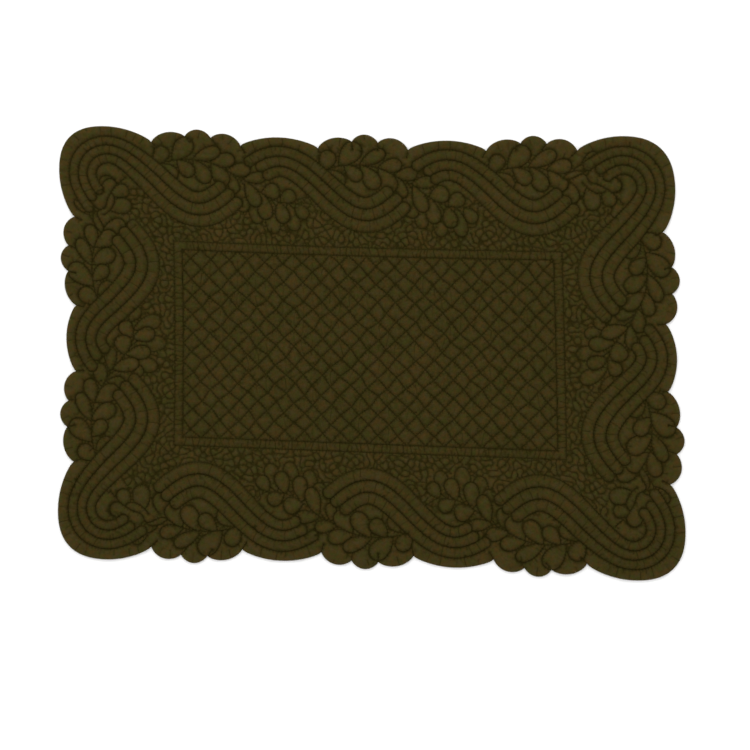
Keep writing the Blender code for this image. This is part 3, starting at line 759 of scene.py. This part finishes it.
def triangulated(outline, lines, loose):
    """Places and triangles of a cloth over some lines and loose points, and which points each place was."""
    points, joins = [tuple(point) for point in outline], []
    for line in lines:
        joins += [(k, k + 1) for k in range(len(points), len(points) + len(line) - 1)]
        points += [tuple(point) for point in line]
    points += [tuple(point) for point in loose]
    flat, _, faces, origins, _, _ = delaunay_2d_cdt(points, joins, [list(range(len(outline)))], 1, MERGE)
    return np.array([(place.x, place.y) for place in flat]), np.array(faces), origins


def puffed(places, faces, held):
    """How full each place is, from 0 where it is held down to 1 far from there, as a blown-up film is."""
    here, there, pull = [], [], []
    area = np.zeros(len(places))
    turned = np.stack((faces, np.roll(faces, -1, axis=1), np.roll(faces, -2, axis=1)))
    for a, b, c in turned.transpose(0, 2, 1):
        to_b, to_c = places[b] - places[a], places[c] - places[a]
        twice = np.abs(to_b[:, 0] * to_c[:, 1] - to_b[:, 1] * to_c[:, 0]) + 1e-12
        cotangent = np.clip((to_b * to_c).sum(axis=1) / twice, *PUFF_LIMITS) / 2
        here += [b, c]
        there += [c, b]
        pull += [cotangent, cotangent]
        area += np.bincount(a, twice / 6, len(places))
    here, there, pull = np.concatenate(here), np.concatenate(there), np.concatenate(pull)
    lift = area / PUFF_REACH ** 2
    total = np.bincount(here, pull, len(places)) + lift
    full = np.zeros(len(places))
    for _ in range(PUFF_TURNS):
        full = (np.bincount(here, pull * full[there], len(places)) + lift) / total
        full[held] = 0
    return full


def unevenness(points, size, seed):
    """Smooth noise from about -1 to 1 at each point, with lumps of a size."""
    return NOISE_SWING * np.array([noise.noise((x / size, y / size, seed)) for x, y in points.tolist()])


def slow_waves(points):
    """How far the mat is lifted off the table at each point."""
    return SWAY * np.clip(1 + unevenness(points, SWAY_SIZE, 3.0), 0, 2) / 2


def pulled(points):
    """Points of the true rectangle, each where it is on the cloth as it lies."""
    x, y = points[:, 0] / REACH_X, points[:, 1] / REACH_Y
    moved = points.copy()
    for (a, b), pull in PULLS.items():
        if a == 0:
            share = (1 - x**2) * (1 + b * y) / 2
        elif b == 0:
            share = (1 + a * x) * (1 - y**2) / 2
        else:
            share = (1 + a * x) * (1 + b * y) * (a * x + b * y - 1) / 4
        moved += share[:, None] * pull
    return moved


middle = (pulled(edge).min(axis=0) + pulled(edge).max(axis=0)) / 2


def lie(points, heights):
    """Points of the drawing at their heights over the table, on the mat as it lies."""
    return np.column_stack((pulled(points) - middle, heights + slow_waves(points)))


def rim_of(faces):
    """The places along the edge of a triangulated cloth, in their order round it."""
    ends = np.concatenate((faces[:, [0, 1]], faces[:, [1, 2]], faces[:, [2, 0]]))
    known = set(map(tuple, ends.tolist()))
    following = dict(end for end in known if end[::-1] not in known)
    rim = [next(iter(following))]
    while following[rim[-1]] != rim[0]:
        rim.append(following[rim[-1]])
    return rim


def stretches(line, keep):
    """The stretches of a line in which every point is kept."""
    cuts = np.flatnonzero(np.diff(keep)) + 1
    pieces = zip(np.split(line, cuts), np.split(keep, cuts))
    return [piece for piece, kept in pieces if kept[0] and len(piece) > 1]


def rank(face):
    """A number that puts the faces in the order of their corners, which is the same each time."""
    corners = sorted(vert.index for vert in face.verts)
    return (corners[0] * MORE_THAN_CORNERS + corners[1]) * MORE_THAN_CORNERS + corners[2]


def give(mesh, **values):
    """Gives a mesh a value at each vertex under each name."""
    for name, each in values.items():
        attribute = mesh.attributes.new(name, "FLOAT", "POINT")
        attribute.data.foreach_set("value", each.astype(np.float32))


drawn_in = ((SEAM, [evenly(line, SEAM_STEP) for line in seams]), (STIPPLE, stippling), (CREASE, creases),
            (PLEAT, pleats))
loose = loose_points(FACE_ROWS, FACE_OPEN)
places, faces, origins = triangulated(edge, [line for _, lines in drawn_in for line in lines], loose)
marks, sharpness = [EDGE] * len(edge), [0.0] * len(edge)
for mark, lines in drawn_in:
    for k, line in enumerate(lines):
        sharp = HAND.uniform(*SHARPNESS[mark]) * (SLACK_SHARPNESS if mark == SEAM and k in slack else 1)
        marks += [mark] * len(line)
        sharpness += [sharp] * len(line)
marks += [OPEN] * len(loose)
sharpness += [0.0] * len(loose)
mark = np.array([min((marks[k] for k in origin), default=SEAM) for origin in origins])
sharp = np.array([max((sharpness[k] for k in origin), default=1.0) for origin in origins])

kinds = np.where(out_from_rectangle(places) < GROUND_FROM, "ground", "rim").astype("<U7")
for kind, outlines in (("leaf", [leaf.outline for leaf in leaves]),
                       ("channel", [ribbon.outline for ribbon in ribbons]),
                       ("strip", [frame_line[:-1]]),
                       ("diamond", [field_line[:-1]])):
    for outline in outlines:
        kinds[within(places, outline)] = kind
loft, crown_wear_and_light, creased, sharper = np.array([PARTS[kind] for kind in kinds.tolist()]).T
free, tied = puffed(places, faces, mark < CREASE), puffed(places, faces, mark < OPEN)
full = (free * (1 - creased) + tied * creased) ** PUFF_ROUND
filling = 1 + LUMPS * sum(unevenness(places, size, k + 1.0) for k, size in enumerate(LUMP_SIZES)) / 2
height = SEAM_HEIGHT + loft * full * filling
height[mark == EDGE] = FOLD[0][1]
mesh = bpy.data.meshes.new("quilted_cloth")
mesh.from_pydata(lie(places, height).tolist(), [], faces.tolist())

# How dark the painted shade along each seam, stipple line, crease and pleat is, kept as the sewn value
sharp[mark >= CREASE] *= sharper[mark >= CREASE]
sharp *= SEWN_MEAN + SEWN_SWING * unevenness(places, SEWN_SIZE, 4.0)
at_rim = tree_of(evenly(loop, TREE_STEP))
# Crowns painted paler, partly as wear and partly as painted light, flanks by the seams left darker as
# painted shade
rubbed = crown_wear_and_light * full ** CROWN + EDGE_HIGHLIGHT * np.exp(-distances(at_rim, places) / EDGE_HIGHLIGHT_REACH)
give(mesh, sewn=np.clip(sharp, 0, 1), rubbed=rubbed)
bm = bmesh.new()
bm.from_mesh(mesh)
bmesh.ops.recalc_face_normals(bm, faces=bm.faces[:])
if sum(face.normal.z for face in bm.faces) < 0:
    bmesh.ops.reverse_faces(bm, faces=bm.faces[:])

rim_line = places[rim_of(faces)]
run = np.roll(rim_line, -1, axis=0) - np.roll(rim_line, 1, axis=0)
inward = np.column_stack((-run[:, 1], run[:, 0])) / np.hypot(*run.T)[:, None]
rings = [lie(rim_line + inward * away, np.full(len(rim_line), at)) for away, at in FOLD]
ring_tree = tree_of(rings[0][:, :2])
rim = [side for side in bm.edges if side.is_boundary]
for ring in rings[1:]:
    made = bmesh.ops.extrude_edge_only(bm, edges=rim)["geom"]
    rim = [item for item in made if isinstance(item, bmesh.types.BMEdge) and item.is_boundary]
    for vert in [item for item in made if isinstance(item, bmesh.types.BMVert)]:
        vert.co = ring[ring_tree.find((*vert.co.xy, 0))[1]]
    ring_tree = tree_of(ring[:, :2])

folded, hem_height = FOLD[-1]
hem = rim_line + inward * folded
back_lines = [evenly(line, BACK_SEAM_STEP) for line in seams]
back_lines += [evenly(line, BACK_STIPPLE_STEP) for line in stippling]
back_lines = [piece for line in back_lines
              for piece in stretches(line, distances(at_rim, line) > folded + BACK_CLEAR)]
loose = loose_points([BACK_ROW], BACK_OPEN)
loose = loose[distances(at_rim, loose) > folded + BACK_OPEN_CLEAR]
places, faces, origins = triangulated(hem, back_lines, loose)
loose_from = len(hem) + sum(len(line) for line in back_lines)
first = np.array([min(origin, default=len(hem)) for origin in origins])
height = np.select((first < len(hem), first < loose_from), (hem_height, BACK_SEAM_RISE), 0.0)
back = bpy.data.meshes.new("backing")
back.from_pydata(lie(places, height).tolist(), [], faces.tolist())
# The backing is painted with shade along its seams and one even lightness all over
give(back, sewn=(height == BACK_SEAM_RISE) * BACK_SHARPNESS, rubbed=np.full(len(places), BACK_LIGHT))
bm.from_mesh(back)
bmesh.ops.remove_doubles(bm, verts=bm.verts[:], dist=WELD)
bmesh.ops.recalc_face_normals(bm, faces=bm.faces[:])
bm.verts.index_update()
bm.faces.sort(key=rank)
bm.to_mesh(mesh)
bm.free()
mesh.shade_smooth()
mat = bpy.data.objects.new("placemat", mesh)
bpy.context.scene.collection.objects.link(mat)




class Socket:
    """A node's output that adds Math nodes when it is worked with."""

    def __init__(self, finish, socket):
        self.finish, self.socket = finish, socket

    def math(self, operation, *values):
        return self.finish.node("ShaderNodeMath", {"operation": operation}, dict(enumerate(values)))

    def __add__(self, other):
        return self.math("ADD", self, other)

    def __sub__(self, other):
        return self.math("SUBTRACT", self, other)

    def __rsub__(self, other):
        return self.math("SUBTRACT", other, self)

    def __mul__(self, other):
        return self.math("MULTIPLY", self, other)

    def __pow__(self, other):
        return self.math("POWER", self, other)

    __radd__, __rmul__ = __add__, __mul__


class Finish:
    """A material, and one way to add any node to it."""

    def __init__(self, name):
        self.material = bpy.data.materials.new(name)
        self.material.use_nodes = True
        self.shader = self.material.node_tree.nodes["Principled BSDF"]

    def node(self, kind, settings=None, inputs=None, output=0):
        """Adds a node, sets it, fills its inputs with values or links, and gives one of its outputs."""
        made = self.material.node_tree.nodes.new(kind)
        for name, value in (settings or {}).items():
            setattr(made, name, value)
        for name, value in (inputs or {}).items():
            if isinstance(value, Socket):
                self.material.node_tree.links.new(value.socket, made.inputs[name])
            else:
                made.inputs[name].default_value = value
        return Socket(self, made.outputs[output])

    def range(self, value, start, end, to_start, to_end):
        """The value, with the range from start to end made into another one and cut off at its ends."""
        return self.node("ShaderNodeMapRange", None, {
            "Value": value, "From Min": start, "From Max": end, "To Min": to_start, "To Max": to_end})

    def blend(self, share, one, other):
        """Two colours mixed, with a share of the other; inputs 6 and 7 are the colours."""
        return self.node("ShaderNodeMix", {"data_type": "RGBA"},
                         {"Factor": share, 6: one, 7: other}, output=2)

    def to_shader(self, **inputs):
        """Links or sets the shader's inputs, named with _ for a space."""
        for name, value in inputs.items():
            entry = self.shader.inputs[name.replace("_", " ")]
            if isinstance(value, Socket):
                self.material.node_tree.links.new(value.socket, entry)
            else:
                entry.default_value = value


# Cotton: a fine plain weave dyed olive in the piece. The dye is browner in places and greener in others. Its
# colour is painted paler on the crowns as wear and painted light, with a painted highlight along the edge,
# and painted shade darkens it in the seams, in the creases and on the flanks beside them.
# The first colour is painted shade: what the cloth turns to in its seams, creases and flanks
SHADE_COLOUR = (0.0125, 0.0098, 0.0011, 1)
GREENER = (0.0385, 0.0385, 0.0073, 1)
BROWNER = (0.0585, 0.0325, 0.0078, 1)
FADED = (0.0470, 0.0360, 0.0165, 1)
NOISES = (38.0, 190.0, 330.0, 290.0, 260.0, 430.0, 1100.0)  # their scales, each for what is named below
BROWN_TONE = (0.42, 0.58)           # part of the noise over which the dye turns from green to brown
FADED_TONE = (0.44, 0.66)           # the same for where it has faded
MOST_FADED = 0.60
CLOUD_TONE = (0.37, 0.63)           # and for where the cloth is lighter
CLOUDED = 0.24                      # how much lighter and darker it is in such spots
FLAT_LIGHT, CROWN_WEAR_AND_LIGHT = 0.21, 0.39           # how light it is painted in its flats, and how much more on a crown, as wear and painted light
SEAM_DARK, SEAM_NARROW = 0.82, 2.2  # how dark the painted shade in a seam or crease is, and how soon that ends beside it
ROUGH, ROUGH_SWING = 0.84, 0.14
THREADS = 0.00042                   # from one thread of the weave to the next but one
WEAVE_DEPTH = 0.00006

cotton = Finish("olive_cotton")
place = cotton.node("ShaderNodeTexCoord", output=3)
seam_shade, rub = (cotton.node("ShaderNodeAttribute", {"attribute_name": name}, output=2)
                for name in ("sewn", "rubbed"))
broad, patches, specks, bleached, motes, flecks, slubs = (
    cotton.node("ShaderNodeTexNoise", None,
                {"Vector": place, "Scale": scale, "Detail": 3.0, "Roughness": 0.6})
    for scale in NOISES)
brown = cotton.range(broad * 0.15 + patches * 0.40 + specks * 0.45, *BROWN_TONE, 0.0, 1.0)
faded = cotton.range(bleached, *FADED_TONE, 0.0, MOST_FADED)
uneven = broad * 0.14 + motes * 0.26 + flecks * 0.26 + slubs * 0.34
clouds = cotton.range(uneven, *CLOUD_TONE, -CLOUDED, CLOUDED)
dyed = cotton.blend(faded, cotton.blend(brown, GREENER, BROWNER), FADED)
# Painted shade: how far the colour moves to the shade colour, most in seams and creases, least on crowns and
# edge
painted_shade = 1 - (FLAT_LIGHT + CROWN_WEAR_AND_LIGHT * rub + clouds) * (1 - SEAM_DARK * seam_shade ** SEAM_NARROW)
coloured = cotton.blend(painted_shade, dyed, SHADE_COLOUR)
across_cloth, along_cloth = (cotton.node("ShaderNodeSeparateXYZ", None, {"Vector": place}, output=axis)
                             for axis in (1, 0))
warp, weft = (way.math("SINE", way * (2 * math.pi / THREADS)) for way in (across_cloth, along_cloth))
bumped = cotton.node("ShaderNodeBump", None, {
    "Strength": 0.5, "Distance": WEAVE_DEPTH, "Height": warp * weft * 0.5 + slubs})
cotton.to_shader(Base_Color=coloured, Roughness=flecks * ROUGH_SWING + ROUGH, Normal=bumped,
                 Specular_IOR_Level=0.04, Specular_Tint=(1, 0.95, 0.55, 1),
                 Sheen_Weight=0.12, Sheen_Roughness=0.35, Sheen_Tint=(0.64, 0.50, 0.14, 1))
mesh.materials.append(cotton.material)
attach(mat, "root")
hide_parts("quilted_mat")


# The thread: running stitches of olive cotton along every seam, on the face and on the back. Each shows
# as a short bead that lies in its seam.
STITCH_PITCH = 0.0026
STITCH_LENGTH = 0.0019
STITCH_THICK = 0.00042
STITCH_RISE = 0.00010               # how far its middle lies above the seam on the face
STITCH_AHEAD = 0.01                 # share of a stitch over which its heading on the mat is taken
# Both thread colours are darker than the cloth: partly the thread's own colour, partly painted shade of its
# seam
THREAD_DARK = (0.020, 0.0175, 0.0018, 1)
THREAD_LIGHT = (0.036, 0.0285, 0.0032, 1)

stitch = bmesh.new()
bmesh.ops.create_uvsphere(stitch, u_segments=3, v_segments=3, radius=1)
bmesh.ops.rotate(stitch, verts=stitch.verts[:], matrix=Matrix.Rotation(math.pi / 2, 3, "Y"))
bmesh.ops.scale(stitch, verts=stitch.verts[:], vec=(STITCH_LENGTH / 2, STITCH_THICK / 2, STITCH_THICK / 2))
bead = np.array([vert.co[:] for vert in stitch.verts])
bead_faces = [[vert.index for vert in face.verts] for face in stitch.faces]
stitch.free()

spots, headings = [], []
for line in seams + stippling:
    line = evenly(line, STITCH_PITCH)
    spots += [(line[1:] + line[:-1]) / 2]
    headings += [line[1:] - line[:-1]]
spots, headings = np.vstack(spots), np.vstack(headings)


def sewing(name, height):
    """All the stitches of one side as one piece, at a height over the table."""
    at = lie(spots, np.full(len(spots), height))
    ahead = lie(spots + headings * STITCH_AHEAD, np.full(len(spots), height)) - at
    ahead /= np.linalg.norm(ahead, axis=1)[:, None]
    beside_it = np.column_stack((-ahead[:, 1], ahead[:, 0], np.zeros(len(at))))
    up = np.cross(ahead, beside_it)
    verts = at[:, None] + bead @ np.stack((ahead, beside_it, up), axis=1)
    thread = bpy.data.meshes.new(name)
    thread.from_pydata(verts.reshape(-1, 3).tolist(), [],
                       [[k + n * len(bead) for k in face] for n in range(len(at)) for face in bead_faces])
    thread.shade_smooth()
    piece = bpy.data.objects.new(name, thread)
    bpy.context.scene.collection.objects.link(piece)
    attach(piece, "root")
    return piece


twist = Finish("cotton_thread")
spot = twist.node("ShaderNodeTexCoord", output=3)
strands = twist.node("ShaderNodeTexNoise", None, {"Vector": spot, "Scale": 1400.0, "Detail": 2.0})
twist.to_shader(Base_Color=twist.blend(strands, THREAD_DARK, THREAD_LIGHT), Roughness=0.85,
                Specular_IOR_Level=0.10)
face_thread = sewing("face_stitches", SEAM_HEIGHT + STITCH_RISE)
back_thread = sewing("back_stitches", BACK_SEAM_RISE)
for piece in (face_thread, back_thread):
    piece.data.materials.append(twist.material)


# The stage: a white floor without an end, and an even soft light from all round with one wide lamp.
VIEW_WIDTH = 0.57375                # what the picture takes in at the mat
CAMERA_HEIGHT = 1.25
TURN = math.radians(1.93)
AIM = (0.00265, -0.0193)
FLOOR_HALF = 6
FLOOR_DROP = 0.0001                 # how far it lies below the mat
SKY = 0.95
LAMP_AT = (-0.2, 0.7, 1.5)
LAMP_SIZE = (1.6, 1.0)
LAMP_WATTS = 14

floor_mesh = bpy.data.meshes.new("floor")
bm = bmesh.new()
bmesh.ops.create_grid(bm, x_segments=1, y_segments=1, size=FLOOR_HALF)
bmesh.ops.translate(bm, verts=bm.verts[:], vec=(0, 0, -FLOOR_DROP))
bm.to_mesh(floor_mesh)
bm.free()
floor = bpy.data.objects.new("floor", floor_mesh)
bpy.context.scene.collection.objects.link(floor)
paper = Finish("white_paper")
paper.to_shader(Base_Color=(0.92, 0.92, 0.92, 1), Roughness=0.9)
floor_mesh.materials.append(paper.material)

scene = bpy.context.scene
scene.view_settings.view_transform = "Standard"
world = bpy.data.worlds.new("studio")
world.use_nodes = True
sky = world.node_tree.nodes["Background"]
sky.inputs["Color"].default_value = (1, 1, 1, 1)
sky.inputs["Strength"].default_value = SKY
scene.world = world
softbox = bpy.data.lights.new("softbox", "AREA")
softbox.shape = "RECTANGLE"
softbox.size, softbox.size_y = LAMP_SIZE
softbox.energy = LAMP_WATTS
lamp = bpy.data.objects.new("softbox", softbox)
lamp.location = LAMP_AT
lamp.rotation_euler = (-Vector(LAMP_AT)).to_track_quat("-Z", "Y").to_euler()
scene.collection.objects.link(lamp)

lens = bpy.data.cameras.new("camera")
lens.sensor_width = 36
lens.lens = lens.sensor_width * CAMERA_HEIGHT / VIEW_WIDTH
camera = bpy.data.objects.new("camera", lens)
camera.location = (*AIM, CAMERA_HEIGHT)
camera.rotation_euler = (0, 0, TURN)
scene.collection.objects.link(camera)
scene.camera = camera
